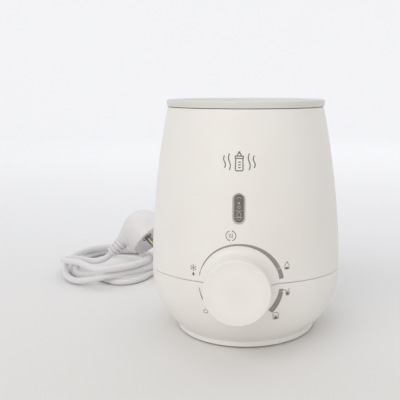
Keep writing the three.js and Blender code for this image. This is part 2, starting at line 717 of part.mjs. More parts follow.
const pinPlaces = [-PIN_SPACING / 2, PIN_SPACING / 2];
const pinRoot = DISC_FACE - PIN_DEPTH;
const CONTACT_W = 6;
const CONTACT_T = 1.2;
const CONTACT_L = 7;
function plugBody() {
  const disc = turned(
    [
      [0, -10.5],
      [7, -10],
      [12, -7.4],
      [15.6, -2.4],
      [18, 3.6],
      [DISC_R, 8],
      [DISC_R, DISC_FACE - 1],
      [DISC_R - 1, DISC_FACE],
      [0, DISC_FACE],
    ],
    36,
  );
  const neckStart = SLEEVE_L + GAP;
  const neck = turned([[0, neckStart], [6.8, neckStart], [8.2, 22], [7.4, 28], [0, DISC_AT]], 20);
  const bores = pinPlaces.map((y) => onDisc(rod(PIN_R + GAP, pinRoot, DISC_FACE + 1, 16), y));
  const notchX = DISC_FACE + 1 - (CONTACT_L + 2) / 2;
  const notches = [-1, 1].map((side) =>
    box(CONTACT_L + 2, CONTACT_W + 2 * GAP, 4, notchX, 0, DISC_AT + side * DISC_R),
  );
  return cut(join(onDisc(disc), neck), ...bores, ...notches);
}
place("plug_body", plugBody(), cordWhite, plug);
pinPlaces.forEach((y, i) => {
  const root = pinRoot + GAP;
  const tip = DISC_FACE + PIN_L;
  const pin = turned([[0, root], [PIN_R, root], [PIN_R, tip - 1.4], [1.4, tip], [0, tip]], 16);
  place(`plug_pin_${i + 1}`, onDisc(pin, y), brass, plug);
});
[-1, 1].forEach((side, i) => {
  const z = DISC_AT + side * (DISC_R - 2 + GAP + CONTACT_T / 2);
  const contact = box(CONTACT_L, CONTACT_W, CONTACT_T, DISC_FACE - CONTACT_L / 2, 0, z);
  place(`earth_contact_${i + 1}`, contact, steel, plug);
});

model.position.z = -WELL_FLOOR;
export default model;
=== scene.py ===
import json
import math

import bpy
import numpy as np
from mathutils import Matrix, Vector


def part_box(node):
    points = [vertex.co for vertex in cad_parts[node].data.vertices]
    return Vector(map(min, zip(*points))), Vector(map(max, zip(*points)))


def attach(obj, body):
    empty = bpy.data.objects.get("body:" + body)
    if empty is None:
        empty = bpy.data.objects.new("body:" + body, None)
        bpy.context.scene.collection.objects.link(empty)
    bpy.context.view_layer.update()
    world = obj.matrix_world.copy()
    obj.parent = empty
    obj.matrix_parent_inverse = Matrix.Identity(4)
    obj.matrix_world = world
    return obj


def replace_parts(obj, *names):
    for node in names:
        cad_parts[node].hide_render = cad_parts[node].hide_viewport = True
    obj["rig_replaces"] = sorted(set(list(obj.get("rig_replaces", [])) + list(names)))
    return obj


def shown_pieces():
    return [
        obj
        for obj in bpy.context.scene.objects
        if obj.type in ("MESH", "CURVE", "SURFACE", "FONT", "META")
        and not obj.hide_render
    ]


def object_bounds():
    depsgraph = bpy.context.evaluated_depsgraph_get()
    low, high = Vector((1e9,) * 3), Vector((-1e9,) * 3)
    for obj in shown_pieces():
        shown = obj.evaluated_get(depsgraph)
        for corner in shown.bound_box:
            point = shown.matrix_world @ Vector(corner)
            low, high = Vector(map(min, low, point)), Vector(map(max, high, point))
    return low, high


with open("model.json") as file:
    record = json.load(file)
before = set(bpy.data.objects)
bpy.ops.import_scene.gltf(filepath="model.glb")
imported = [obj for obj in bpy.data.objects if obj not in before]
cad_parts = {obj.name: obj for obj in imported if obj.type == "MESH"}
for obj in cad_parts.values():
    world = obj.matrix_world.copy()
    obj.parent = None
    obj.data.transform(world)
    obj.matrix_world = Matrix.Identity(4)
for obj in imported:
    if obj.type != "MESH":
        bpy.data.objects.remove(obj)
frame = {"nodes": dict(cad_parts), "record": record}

first_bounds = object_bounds()
MM = 0.001  # one millimetre in metres
FLOOR = first_bounds[0].z
TAU = 2 * math.pi


def mm_box(node):
    """Lowest and highest corner of a CAD node, in millimetres with heights from the floor."""
    low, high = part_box(node)
    lift = np.array([0, 0, -FLOOR])
    return (np.array(low) + lift) / MM, (np.array(high) + lift) / MM


# ---- Dimensions, in millimetres ------------------------------------------------------------------
RIM_LOW, RIM_HIGH = mm_box("rim_ring")
KNOB_LOW, KNOB_HIGH = mm_box("control_knob")

HEIGHT = RIM_HIGH[2]
RIM_R = RIM_HIGH[0]
HOUSING_TOP = mm_box("upper_housing")[1][2]
WELL_FLOOR = mm_box("heating_plate")[1][2]
WELL_R = 40.0
WELL_OUTSIDE_R = WELL_R + 2.0
RIM_SKIRT_R = 46.9
FLANGE_R = 46.6
PLATE_R = 42.0
PLATE_FACE_R = 35.0
PLATE_RING_R = 23.4
WALL = 2.4  # the housing's thickness

WIDEST_R = 62.2
TAPER_Z = 31.0
TAPER_ARC_R = 530.0  # the wall above the belly is nearly straight
BELLY_Z = 40.0
BELLY_ARC_R = 45.6
NECK_Z = 4.2  # where the foot starts to flare
FOOT_R = 46.4
FOOT_LIFT = 1.0  # the rubber feet hold the housing off the floor

SEAM_Z = 41.0
SEAM_SLOPE = math.tan(math.radians(5))
SEAM_HALF = 0.16  # half the gap at the parting line

KNOB_Z = (KNOB_LOW[2] + KNOB_HIGH[2]) / 2
KNOB_R = (KNOB_HIGH[2] - KNOB_LOW[2]) / 2
KNOB_FACE = -KNOB_LOW[1]
KNOB_BACK = -KNOB_HIGH[1]
BOSS_FACE = 66.2
BOSS_R = 18.4
BOSS_FLARE = 4.5
BOSS_DROP = 8.6  # from the boss's face to the foot of its flank
BOSS_EDGE = 0.7
BOSS_BLEND = 1.6  # how softly the flank meets the wall
PATCH_R = 34.0
PATCH_LAP = 1.2  # how far a patch runs over the plain wall's opening
SKIN = 0.02  # how far it stands proud of that wall

KNOB_WALL = 2.4
KNOB_TAPER = 0.3
LIP_ROWS = 14  # rows round the knob's back edge, before its side starts
GROOVE_HALF = 0.55
GROOVE_DEPTH = 0.5
POINTER = math.radians(-129.5)

WINDOW_Z = 90.0
WINDOW_R = 3.6
WINDOW_STRAIGHT = 5.25
WINDOW_PATCH = 3.2
WINDOW_LAP = 1.3
BEZEL_W = 0.92
LENS_DEPTH = 0.82

DIAL_R = 23.1
PRINT_LIFT = 0.045
LENS_PRINT_LIFT = 0.03
THIN_LINE = 0.3
FINE_LINE = 0.32
LINE = 0.36
SIGN_LINE = 0.62
SIGN_Z = 117.0

CORD_R = 2.7
CORD_STEP = 1.6
OUTLET_Z = 14.0
PLUG_START = np.array([-126.0, 109.0, 13.8])  # where the cord goes into the plug's sleeve
PLUG_AXIS = np.array([0.7, 0.17, 0.69])
PLUG_AXIS = PLUG_AXIS / np.linalg.norm(PLUG_AXIS)
PLUG_ACROSS = np.cross(PLUG_AXIS, [0.69, -0.38, -0.61])
PLUG_ACROSS = PLUG_ACROSS / np.linalg.norm(PLUG_ACROSS)
PINS_WAY = np.cross(PLUG_ACROSS, PLUG_AXIS)
SLEEVE_L = 16.0
DISC_AT = 35.0
DISC_R = 18.5
DISC_FACE = 17.5
DOME_REACH = 6.8  # draws the back of the disc towards the cord
PIN_R = 2.4
PIN_SPACING = 19.0
PIN_L = 19.0
PIN_ROOT = 7.7


# ---- Materials -----------------------------------------------------------------------------------
def linear(srgb):
    """A 0-255 display colour as scene-linear red, green, blue and alpha."""
    c = np.array(srgb, float) / 255
    return tuple(np.where(c <= 0.04045, c / 12.92, ((c + 0.055) / 1.055) ** 2.4)) + (1.0,)


class Nodes:
    """Shorthand for wiring a material's nodes."""

    def __init__(self, name):
        self.material = bpy.data.materials.new(name)
        self.material.use_nodes = True
        self.tree = self.material.node_tree
        self.shader = next(n for n in self.tree.nodes if n.type == "BSDF_PRINCIPLED")
        self.where = self.add("ShaderNodeTexCoord").outputs["Object"]

    def add(self, kind, **inputs):
        node = self.tree.nodes.new(kind)
        for key, value in inputs.items():
            self.put(node.inputs[key.replace("_", " ")], value)
        return node

    def put(self, socket, value):
        """Links a socket to another node's output, or sets it to a plain value."""
        if isinstance(value, bpy.types.NodeSocket):
            self.tree.links.new(value, socket)
        else:
            socket.default_value = value

    def noise(self, scale, detail=3.0, roughness=0.55, stretch=None):
        where = self.where
        if stretch:
            mapping = self.add("ShaderNodeMapping", Vector=where, Scale=stretch)
            where = mapping.outputs["Vector"]
        return self.add("ShaderNodeTexNoise", Vector=where, Scale=scale, Detail=detail,
                        Roughness=roughness).outputs["Fac"]

    def ramp(self, value, low, high, out_low, out_high):
        """The value stretched from low..high to out_low..out_high, and held at the ends."""
        node = self.add("ShaderNodeMapRange", Value=value)
        limits = {"From Min": low, "From Max": high, "To Min": out_low, "To Max": out_high}
        for key, number in limits.items():
            node.inputs[key].default_value = number
        return node.outputs["Result"]

    def mix(self, factor, a, b):
        """Colour a turning into colour b as the factor goes from 0 to 1."""
        node = self.tree.nodes.new("ShaderNodeMix")
        node.data_type = "RGBA"
        self.put(node.inputs["Factor"], factor)
        self.put(node.inputs["A"], a)
        self.put(node.inputs["B"], b)
        return node.outputs["Result"]

    def bump(self, height, strength, distance_mm):
        node = self.add("ShaderNodeBump", Height=height, Strength=strength, Distance=distance_mm * MM)
        self.put(self.shader.inputs["Normal"], node.outputs["Normal"])


def moulded(name, srgb, roughness=0.42, grain=0.5, variation=0.02, shift=(0, -1, -3)):
    """Injection-moulded plastic: spark texture, slow changes of tone, rubbed edges, painted shade in corners.
    """
    n = Nodes(name)
    base = np.array(srgb, float)
    light = linear(np.clip(base * (1 + variation), 0, 255))
    dark = linear(np.clip(base * (1 - variation) + np.array(shift), 0, 255))
    tone = n.ramp(n.noise(18.0, 2.0), 0.3, 0.7, 0.0, 1.0)
    colour = n.mix(tone, light, dark)
    specks = n.ramp(n.noise(900.0, 1.0), 0.66, 0.8, 0.0, 0.22)
    grained = n.mix(specks, colour, linear(np.clip(base * 0.93, 0, 255)))
    curve = n.add("ShaderNodeNewGeometry").outputs["Pointiness"]
    rubbed = n.ramp(curve, 0.52, 0.6, 0.0, 0.5)
    worn = n.mix(rubbed, grained, linear(np.clip(base * 1.03, 0, 255)))
    # Painted shade: inner corners and creases, where pointiness is low, are darkened towards 86% of the base
    # colour.
    painted_crease_shade = n.ramp(curve, 0.4, 0.48, 0.35, 0.0)
    n.put(n.shader.inputs["Base Color"], n.mix(painted_crease_shade, worn, linear(base * 0.86)))
    wiped = n.noise(60.0, 4.0, 0.6, (1.0, 1.0, 0.35))
    n.put(n.shader.inputs["Roughness"], n.ramp(wiped, 0.3, 0.7, roughness - 0.06, roughness + 0.07))
    n.bump(n.noise(2600.0, 2.0), grain, 0.012)
    return n.material


def metal(name, srgb, roughness=0.3, stretch=(1.0, 1.0, 14.0)):
    """Bare metal with drawn or turned streaks and dulled patches."""
    n = Nodes(name)
    streaks = n.noise(420.0, 3.0, 0.6, stretch)
    patches = n.ramp(n.noise(70.0, 4.0), 0.35, 0.75, 0.0, 1.0)
    base = np.array(srgb, float)
    n.put(n.shader.inputs["Base Color"], n.mix(patches, linear(base), linear(base * 0.92)))
    n.shader.inputs["Metallic"].default_value = 1.0
    n.put(n.shader.inputs["Roughness"], n.ramp(streaks, 0.3, 0.7, roughness - 0.08, roughness + 0.12))
    n.bump(streaks, 0.35, 0.01)
    return n.material


def soft(name, srgb, roughness=0.8):
    """Rubber or silicone: matt, with dust caught in a fine pebble texture."""
    n = Nodes(name)
    dust = n.ramp(n.noise(140.0, 5.0), 0.45, 0.75, 0.0, 0.5)
    base = np.array(srgb, float)
    n.put(n.shader.inputs["Base Color"], n.mix(dust, linear(base), linear(np.clip(base * 1.12 + 4, 0, 255))))
    n.put(n.shader.inputs["Roughness"], n.ramp(n.noise(300.0), 0.3, 0.7, roughness - 0.08, roughness + 0.08))
    n.bump(n.noise(1500.0, 3.0), 0.6, 0.02)
    return n.material


def printed(name, srgb):
    """Pad-printed ink: slightly uneven coverage over the plastic's texture."""
    n = Nodes(name)
    cover = n.ramp(n.noise(700.0, 3.0), 0.35, 0.65, 0.0, 1.0)
    base = np.array(srgb, float)
    n.put(n.shader.inputs["Base Color"], n.mix(cover, linear(base), linear(base * 1.06)))
    n.put(n.shader.inputs["Roughness"], n.ramp(n.noise(260.0), 0.3, 0.7, 0.42, 0.6))
    n.bump(n.noise(2600.0, 2.0), 0.4, 0.01)
    return n.material


def turned_plate(name, srgb):
    """A lathe-faced aluminium disc: fine rings about the upright axis, and a faint limescale bloom."""
    n = Nodes(name)
    rings = n.add("ShaderNodeTexWave", Vector=n.where, Scale=700.0, Distortion=0.6, Detail=2.0)
    rings.wave_type = "RINGS"
    rings.rings_direction = "Z"
    bloom = n.ramp(n.noise(45.0, 5.0, 0.65), 0.45, 0.75, 0.0, 0.55)
    n.put(n.shader.inputs["Base Color"], n.mix(bloom, linear(srgb), linear((222, 222, 218))))
    n.shader.inputs["Metallic"].default_value = 0.9
    n.put(n.shader.inputs["Roughness"], n.ramp(bloom, 0.0, 0.5, 0.3, 0.55))
    n.bump(rings.outputs["Fac"], 0.25, 0.02)
    return n.material


def glass_dark(name, srgb):
    """Smoked gloss plastic with faint smears."""
    n = Nodes(name)
    smear = n.ramp(n.noise(120.0, 4.0, 0.6, (1.0, 1.0, 0.3)), 0.4, 0.8, 0.0, 1.0)
    base = np.array(srgb, float)
    n.put(n.shader.inputs["Base Color"], n.mix(smear, linear(base), linear(base * 1.15)))
    n.put(n.shader.inputs["Roughness"], n.ramp(smear, 0.0, 1.0, 0.12, 0.26))
    n.shader.inputs["Specular IOR Level"].default_value = 0.6
    n.bump(n.noise(90.0, 2.0), 0.05, 0.05)
    return n.material


def plain_stage(name, far, near):
    """Plain backdrop paper with painted shading: a little darker and warmer close to the camera than far from
    it.
    """
    n = Nodes(name)
    along_floor = n.add("ShaderNodeSeparateXYZ", Vector=n.where).outputs["Y"]
    # Painted shading: the paper colour runs along Y from the darker, warmer near colour to the lighter far
    # colour.
    painted_falloff = n.ramp(along_floor, -0.3, 0.25, 0.0, 1.0)
    paper = n.mix(painted_falloff, linear(near), linear(far))
    tone = n.ramp(n.noise(3.0, 2.0), 0.3, 0.7, 0.0, 0.02)
    n.put(n.shader.inputs["Base Color"], n.mix(tone, paper, linear((200, 200, 200))))
    n.shader.inputs["Roughness"].default_value = 0.9
    return n.material


SHELL = moulded("shell white", (240, 237, 233), 0.40, 0.45, 0.008, (0, -1, -2))
KNOB = moulded("knob white", (240, 237, 232), 0.36, 0.35, 0.006, (0, -1, -2))
RIM = moulded("rim light grey", (222, 221, 218), 0.38, 0.4, 0.012)
WELL = moulded("well white", (226, 224, 219), 0.38, 0.5, 0.015)
COVER = moulded("cover off-white", (222, 219, 214), 0.55, 0.9, 0.015)
BEZEL = moulded("bezel grey", (196, 193, 189), 0.34, 0.2, 0.02)
LENS = glass_dark("smoked lens", (98, 95, 91))
LENS_MARK = printed("lens marks", (176, 172, 167))
LENS_DOT = printed("lens dot", (236, 234, 230))
INK = printed("warm grey ink", (146, 142, 135))
INK_DARK = printed("dark grey ink", (112, 108, 103))
CORD = moulded("cord white", (229, 227, 227), 0.36, 0.25, 0.012, (-1, -1, 0))
PLUG = moulded("plug white", (230, 227, 228), 0.40, 0.35, 0.01, (-1, -1, -1))
PIN = metal("plug pin brass", (150, 144, 124), 0.28, (1.0, 1.0, 4.0))
STEEL = metal("zinc steel", (186, 187, 189), 0.32)
BRASS = metal("brass", (196, 164, 96), 0.3)
ALLOY = metal("drawn aluminium", (190, 191, 193), 0.36, (8.0, 8.0, 1.0))
PLATE = turned_plate("turned heating plate", (200, 201, 203))
RUBBER = soft("foot rubber", (112, 110, 108), 0.85)
SILICONE = soft("silicone", (216, 214, 210), 0.62)
BLACK = moulded("black moulding", (38, 38, 39), 0.5, 0.8, 0.06, (0, 0, 0))
BOARD = moulded("board green", (38, 96, 62), 0.45, 0.3, 0.08, (0, 0, 0))
LED = moulded("light lens", (238, 236, 226), 0.2, 0.1, 0.01)
LEAD_BROWN = moulded("lead brown", (104, 70, 48), 0.4, 0.3, 0.04)
LEAD_BLUE = moulded("lead blue", (58, 92, 156), 0.4, 0.3, 0.04)
LEAD_GREEN = moulded("lead green", (120, 150, 56), 0.4, 0.3, 0.04)
SLOT_LOOK = {
    "shell_plastic": SHELL, "knob_plastic": KNOB, "rim_plastic": RIM, "well_plastic": WELL,
    "lens": LENS, "bezel": BEZEL, "rubber": RUBBER, "silicone": SILICONE, "aluminium": ALLOY,
    "steel": STEEL, "brass": BRASS, "pin_metal": PIN, "board": BOARD, "black_plastic": BLACK,
    "led": LED, "cord_sheath": CORD, "lead_brown": LEAD_BROWN, "lead_blue": LEAD_BLUE,
    "lead_green": LEAD_GREEN,
}


# ---- Mesh making ---------------------------------------------------------------------------------
def mesh_object(name, verts, faces, material):
    """A smooth-shaded object in the row frame, from millimetres with heights from the floor."""
    points = np.asarray(verts, float).reshape(-1, 3) * MM
    points[:, 2] += FLOOR
    mesh = bpy.data.meshes.new(name)
    mesh.from_pydata(points.tolist(), [], [tuple(int(i) for i in f) for f in faces])
    mesh.materials.append(material)
    mesh.polygons.foreach_set("use_smooth", [True] * len(mesh.polygons))
    mesh.update()
    made = bpy.data.objects.new(name, mesh)
    bpy.context.scene.collection.objects.link(made)
    return made


def make(name, verts, faces, material, slot, body="housing", replaces=()):
    """A piece of the warmer, riding on a body and standing for the CAD nodes it replaces."""
    piece = mesh_object(name, verts, faces, material)
    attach(piece, body)
    if replaces:
        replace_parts(piece, *replaces)


def grid(points, wrap=False, keep=None):
    """Vertices and quads of a (rows, columns, 3) array, facing out along columns cross rows.

    keep marks the vertices that the surface must reach; a quad with none of them is left out.
    """
    points = np.asarray(points, float)
    rows, cols = points.shape[:2]
    faces = []
    for i in range(rows - 1):
        for j in range(cols if wrap else cols - 1):
            k = (j + 1) % cols
            if keep is not None and not (keep[i, j] or keep[i, k] or keep[i + 1, j] or keep[i + 1, k]):
                continue
            faces.append((i * cols + j, i * cols + k, (i + 1) * cols + k, (i + 1) * cols + j))
    return points.reshape(-1, 3), faces


def merged(parts):
    """Several (vertices, faces) pairs as one."""
    verts, faces, start = [], [], 0
    for v, f in parts:
        verts.append(np.asarray(v, float).reshape(-1, 3))
        faces += [tuple(i + start for i in face) for face in f]
        start += len(verts[-1])
    return np.vstack(verts), faces


def rounded(profile, radius, steps=5):
    """A profile with each inner corner turned into an arc. radius is a number or one per point."""
    points = np.asarray(profile, float)
    radii = np.full(len(points), radius, float) if np.isscalar(radius) else np.asarray(radius, float)
    out = [points[0]]
    for i in range(1, len(points) - 1):
        before, here, after = points[i - 1], points[i], points[i + 1]
        a, b = before - here, after - here
        la, lb = np.linalg.norm(a), np.linalg.norm(b)
        a, b = a / la, b / lb
        angle = math.acos(np.clip(a @ b, -1, 1))
        if radii[i] <= 0 or angle > math.pi - 0.02:
            out.append(here)
            continue
        reach = min(radii[i] / math.tan(angle / 2), 0.45 * la, 0.45 * lb)
        centre = here + (a + b) / np.linalg.norm(a + b) * reach / math.cos(angle / 2)
        start, end = here + a * reach, here + b * reach
        out.append(start + a * reach * 0.25)
        u, v = start - centre, end - centre
        sweep = math.pi - angle
        for k in range(steps + 1):
            t = k / steps
            out.append(centre + (math.sin((1 - t) * sweep) * u + math.sin(t * sweep) * v) / math.sin(sweep))
        out.append(end + b * reach * 0.25)
    out.append(points[-1])
    return np.array(out)


def lathe(profile, columns=160, swell=None):
    """A profile of (radius, z), outside to the right going up, turned round the upright axis."""
    profile = np.asarray(profile, float)
    angle = np.arange(columns) * TAU / columns
    r = profile[:, 0][:, None] * np.ones(columns)
    z = profile[:, 1][:, None] * np.ones(columns)
    if swell is not None:
        r = r + swell(angle[None, :], z)
    return grid(np.stack([r * np.cos(angle), r * np.sin(angle), z], -1), wrap=True)


def turned(part, start, x_way, y_way, z_way):
    """A part moved from the origin to start, with its axes turned to the three given ways."""
    verts, faces = part
    return np.asarray(start, float) + np.asarray(verts, float) @ np.array([x_way, y_way, z_way], float), faces


def spline(points, spacing):
    """A centripetal Catmull-Rom curve through the points, resampled at an even spacing."""
    p = np.asarray(points, float)
    p = np.vstack([2 * p[0] - p[1], p, 2 * p[-1] - p[-2]])
    dense = []
    for i in range(1, len(p) - 2):
        p0, p1, p2, p3 = p[i - 1:i + 3]
        t0 = 0.0
        t1 = math.sqrt(np.linalg.norm(p1 - p0))
        t2 = t1 + math.sqrt(np.linalg.norm(p2 - p1))
        t3 = t2 + math.sqrt(np.linalg.norm(p3 - p2))
        t = np.linspace(t1, t2, 24, endpoint=False)[:, None]
        a1 = (t1 - t) / (t1 - t0) * p0 + (t - t0) / (t1 - t0) * p1
        a2 = (t2 - t) / (t2 - t1) * p1 + (t - t1) / (t2 - t1) * p2
        a3 = (t3 - t) / (t3 - t2) * p2 + (t - t2) / (t3 - t2) * p3
        b1 = (t2 - t) / (t2 - t0) * a1 + (t - t0) / (t2 - t0) * a2
        b2 = (t3 - t) / (t3 - t1) * a2 + (t - t1) / (t3 - t1) * a3
        dense.append((t2 - t) / (t2 - t1) * b1 + (t - t1) / (t2 - t1) * b2)
    dense = np.vstack(dense + [p[-2:-1]])
    length = np.concatenate([[0], np.cumsum(np.linalg.norm(np.diff(dense, axis=0), axis=1))])
    wanted = np.linspace(0, length[-1], max(3, int(length[-1] / spacing)))
    return np.stack([np.interp(wanted, length, dense[:, k]) for k in range(3)], -1)


def hose(points, radius, sides=20):
    """A round tube along points, closed at both ends."""
    points = np.asarray(points, float)
    tangent = np.gradient(points, axis=0)
    tangent /= np.linalg.norm(tangent, axis=1)[:, None]
    side = np.cross(tangent[0], [0.0, 0.0, 1.0])
    side /= np.linalg.norm(side)
    angle = np.arange(sides) * TAU / sides
    rings = []
    for p, t in zip(points, tangent):
        side = side - t * (side @ t)
        side /= np.linalg.norm(side)
        other = np.cross(t, side)
        rings.append(p + radius * (np.cos(angle)[:, None] * side + np.sin(angle)[:, None] * other))
    first = np.repeat(points[:1], sides, 0)
    last = np.repeat(points[-1:], sides, 0)
    return grid(np.array([first] + rings + [last]), wrap=True)


# ---- The housing's surface -----------------------------------------------------------------------
BELT_TILT = math.atan((BELLY_Z - TAPER_Z) / TAPER_ARC_R)
BELT_R = WIDEST_R - (BELLY_Z - TAPER_Z) ** 2 / (2 * TAPER_ARC_R)
BELT_CENTRE_R = BELT_R - BELLY_ARC_R * math.cos(BELT_TILT)
BELT_CENTRE_Z = BELLY_Z - BELLY_ARC_R * math.sin(BELT_TILT)


def shell_r(z):
    """Outer radius of the housing at a height."""
    z = np.asarray(z, float)
    taper = WIDEST_R - (z - TAPER_Z) ** 2 / (2 * TAPER_ARC_R)
    drop = np.clip(BELT_CENTRE_Z - np.maximum(z, NECK_Z), 0, BELLY_ARC_R)
    belt = BELT_CENTRE_R + np.sqrt(BELLY_ARC_R ** 2 - drop ** 2)
    flare = np.clip((NECK_Z - z) / (NECK_Z - FOOT_LIFT), 0, 1)
    neck = BELT_CENTRE_R + math.sqrt(BELLY_ARC_R ** 2 - (BELT_CENTRE_Z - NECK_Z) ** 2)
    foot = belt + (FOOT_R - neck) * flare ** 1.2
    return np.where(z >= BELLY_Z, taper, foot)


def seam_z(y):
    """Height of the parting line, which rises towards the front."""
    return SEAM_Z - SEAM_SLOPE * y


def boss_depth(rho):
    """How far behind the boss's face its surface lies at a distance from the knob's axis."""
    rho = np.asarray(rho, float)
    edge = np.clip(rho - (BOSS_R - BOSS_EDGE), 0, BOSS_EDGE)
    round_over = BOSS_EDGE - np.sqrt(np.maximum(BOSS_EDGE ** 2 - edge ** 2, 0))
    out = np.clip((rho - BOSS_R) / BOSS_FLARE, 0, None)
    flank = (BOSS_DROP - BOSS_EDGE) * np.minimum(out, 1) ** 0.55
    beyond = 30 * np.clip(out - 1, 0, None)
    return round_over + flank + beyond


def front_y(x, z):
    """The front surface, housing and boss blended, as a distance along Y."""
    x, z = np.asarray(x, float), np.asarray(z, float)
    wall = np.sqrt(np.maximum(shell_r(z) ** 2 - x ** 2, 1.0))
    boss = BOSS_FACE - boss_depth(np.hypot(x, z - KNOB_Z))
    near = np.clip(BOSS_BLEND - np.abs(wall - boss), 0, None)
    return -(np.maximum(wall, boss) + near ** 2 / (4 * BOSS_BLEND))


def slot_reach(x, z):
    """Distance outside the indicator window's outline, negative within it."""
    return np.hypot(x, np.maximum(np.abs(z - WINDOW_Z) - WINDOW_STRAIGHT, 0)) - WINDOW_R


# Rolled lips, as (distance before the edge, depth below the surface) for each row of the mesh.
SEAM_LIP = [(0.34, 0.0), (0.16, 0.035), (0.05, 0.13), (0.0, 0.30), (0.0, 0.9), (0.0, 2.2)]
TOP_LIP = [(0.4, 0.0), (0.25, 0.02), (0.1, 0.08), (0.02, 0.2), (0.0, 0.36), (0.0, 3.0), (0.0, 7.0)]
FOOT_LIP = [(0.5, 0.0), (0.28, 0.06), (0.08, 0.24), (0.0, 0.5), (0.0, 1.6), (0.0, 2.4)]
SHELL_COLUMNS = 288


def shell_rows(upper, seam_edge):
    """Each row of one housing's wall, as its height and its depth below the outer surface."""
    way = 1 if upper else -1
    rows = [(seam_edge + way * back, deep) for back, deep in SEAM_LIP[::-1]]
    start = rows[-1][0]
    if upper:
        end = HOUSING_TOP - TOP_LIP[0][0]
        rows += [(start + (end - start) * t, 0.0) for t in np.linspace(0, 1, 96)[1:]]
        rows += [(HOUSING_TOP - back, deep) for back, deep in TOP_LIP[1:]]
    else:
        rows += [(start + (NECK_Z - start) * t, 0.0) for t in np.linspace(0, 1, 72)[1:]]
        rows += [(z, 0.0) for z in np.linspace(NECK_Z, FOOT_LIFT + FOOT_LIP[0][0], 9)[1:]]
        rows += [(FOOT_LIFT + back, deep) for back, deep in FOOT_LIP[1:]]
        rows.append((NECK_Z, WALL))
    return rows


def shell_grid(upper):
    """The plain wall of one housing, open where the boss and window patches take over."""
    angle = (np.arange(SHELL_COLUMNS) + 0.5) * TAU / SHELL_COLUMNS
    sx, sy = np.sin(angle), -np.cos(angle)
    edge = np.full(SHELL_COLUMNS, SEAM_Z)
    for _ in range(4):
        edge = seam_z(shell_r(edge) * sy)
    edge = edge + (SEAM_HALF if upper else -SEAM_HALF)
    rows = shell_rows(upper, edge)
    z = np.array([np.broadcast_to(height, SHELL_COLUMNS) for height, _ in rows])
    r = shell_r(z) - np.array([deep for _, deep in rows])[:, None]
    points = np.stack([r * sx, r * sy, z], -1)
    front = points[..., 1] < 0
    in_boss = front & (np.hypot(points[..., 0], z - KNOB_Z) < PATCH_R - PATCH_LAP)
    in_window = front & (slot_reach(points[..., 0], z) < WINDOW_PATCH - WINDOW_LAP)
    keep = ~(in_boss | in_window)
    if not upper:
        points, keep = points[::-1], keep[::-1]
    return grid(points, wrap=True, keep=keep)


def seam_lip(line, way):
    """The lip along one end of a boss patch, as rows going in from the line of its edge."""
    outward = np.cross(np.gradient(line, axis=0), [0.0, 0.0, 1.0])
    outward /= np.linalg.norm(outward, axis=1)[:, None]
    outward *= np.sign(-outward[:, 1:2] + 1e-9)
    rows = []
    for back, deep in SEAM_LIP[1:]:
        row = line - outward * deep
        row[:, 2] = line[:, 2] + way * (back - SEAM_LIP[0][0])
        rows.append(row)
    return np.array(rows).swapaxes(0, 1)


def boss_patch(upper):
    """The boss and the wall round it, as one half of a disc either side of the seam."""
    way = 1 if upper else -1
    edge_r = BOSS_R - BOSS_EDGE
    rho = np.concatenate([
        np.linspace(5.0, edge_r, 8),
        edge_r + BOSS_EDGE * np.sin(np.linspace(0, math.pi / 2, 8)[1:]),
        BOSS_R + BOSS_FLARE * np.linspace(0, 1, 26)[1:] ** 1.8,
        np.linspace(BOSS_R + BOSS_FLARE, PATCH_R, 22)[1:],
    ])
    turn = np.linspace(0, math.pi, 150)
    sweep = np.sin(turn)
    x = rho[:, None] * np.cos(turn)
    flat_z = KNOB_Z + way * rho[:, None] * sweep
    z, y = flat_z, front_y(x, flat_z)
    for _ in range(3):
        edge = seam_z(y) + way * (SEAM_HALF + SEAM_LIP[0][0])
        z = flat_z + (edge - KNOB_Z) * (1 - sweep) ** 2
        y = front_y(x, z) - SKIN
    points = np.stack([x, y, z], -1)
    right, left = seam_lip(points[:, 0], way), seam_lip(points[:, -1], way)
    whole = np.concatenate([right[:, ::-1], points, left], 1)
    return grid(whole if upper else whole[:, ::-1])


def slot_ring(reach):
    """Points round the window's slot outline at a radius, anticlockwise seen from the front."""
    upper = np.linspace(0, math.pi, 40)
    lower = upper + math.pi
    x = np.concatenate([np.cos(upper), np.cos(lower)]) * reach
    z = np.concatenate([np.sin(upper) * reach + WINDOW_STRAIGHT, np.sin(lower) * reach - WINDOW_STRAIGHT])
    return x, z + WINDOW_Z


def slot_rows(rows):
    """Rings round the window, given as (distance from its middle line, height above the wall)."""
    out = []
    for reach, proud in rows:
        x, z = slot_ring(max(reach, 1e-3))
        out.append(np.stack([x, -np.sqrt(shell_r(z) ** 2 - x ** 2) - proud, z], -1))
    return np.array(out)


def window_patch():
    """The wall round the indicator window, rolled in at the slot's edge."""
    rows = [(WINDOW_R, -2.4), (WINDOW_R, -1.0), (WINDOW_R, -0.3), (WINDOW_R + 0.05, -0.12),
            (WINDOW_R + 0.15, -0.03), (WINDOW_R + 0.32, 0.0)]
    rows += [(WINDOW_R + d, 0.0) for d in np.linspace(0.5, WINDOW_PATCH, 9)]
    rows = [(r, p + SKIN) for r, p in rows]
    return grid(slot_rows(rows)[::-1], wrap=True)


make("upper_shell", *merged([shell_grid(True), boss_patch(True), window_patch()]), SHELL, "shell_plastic",
     replaces=["upper_housing"])
make("lower_shell", *merged([shell_grid(False), boss_patch(False)]), SHELL, "shell_plastic",
     replaces=["lower_housing"])


